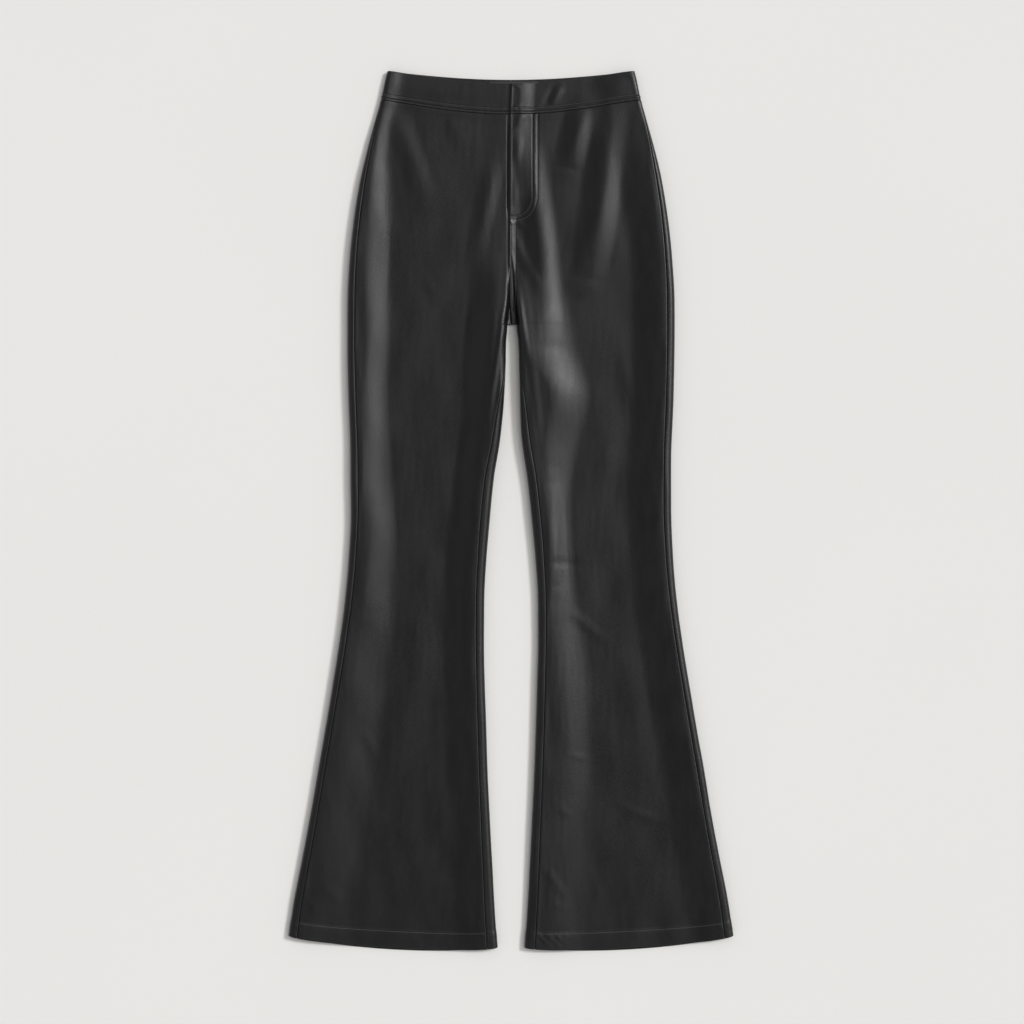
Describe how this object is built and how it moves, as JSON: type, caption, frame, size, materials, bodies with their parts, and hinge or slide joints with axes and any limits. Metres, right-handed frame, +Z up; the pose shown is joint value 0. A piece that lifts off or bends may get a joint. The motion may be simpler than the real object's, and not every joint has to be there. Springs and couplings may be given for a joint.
{
  "type": "faux leather flared trousers",
  "caption": "High-waisted flared trousers in faux leather, closed with a fly front, laid flat face up with the legs side by side.",
  "frame": {"origin": "on the surface that the trousers lie on, under the middle of their bounding box", "axes": "+Y along the legs towards the waist, +X towards the wearer's left side, +Z up out of the surface, towards the front of the trousers"},
  "size_m": [0.5684, 1.1247, 0.0154],
  "materials": {
    "faux_leather": "satin black with a fine pebble grain",
    "thread": "black polyester topstitching",
    "facing_cloth": "plain black woven strip",
    "zip_tape": "black woven tape with its closed teeth",
    "hook_steel": "blackened flat steel"
  },
  "bodies": {
    "root": {"front_right": "faux_leather", "front_left": "faux_leather", "back_right": "faux_leather", "back_left": "faux_leather", "waistband_front_right": "faux_leather", "waistband_front_left": "faux_leather", "waistband_back_right": "faux_leather", "waistband_back_left": "faux_leather", "inner_label": "facing_cloth", "zip": "zip_tape", "waist_hook": "hook_steel"}
  },
  "joints": []
}
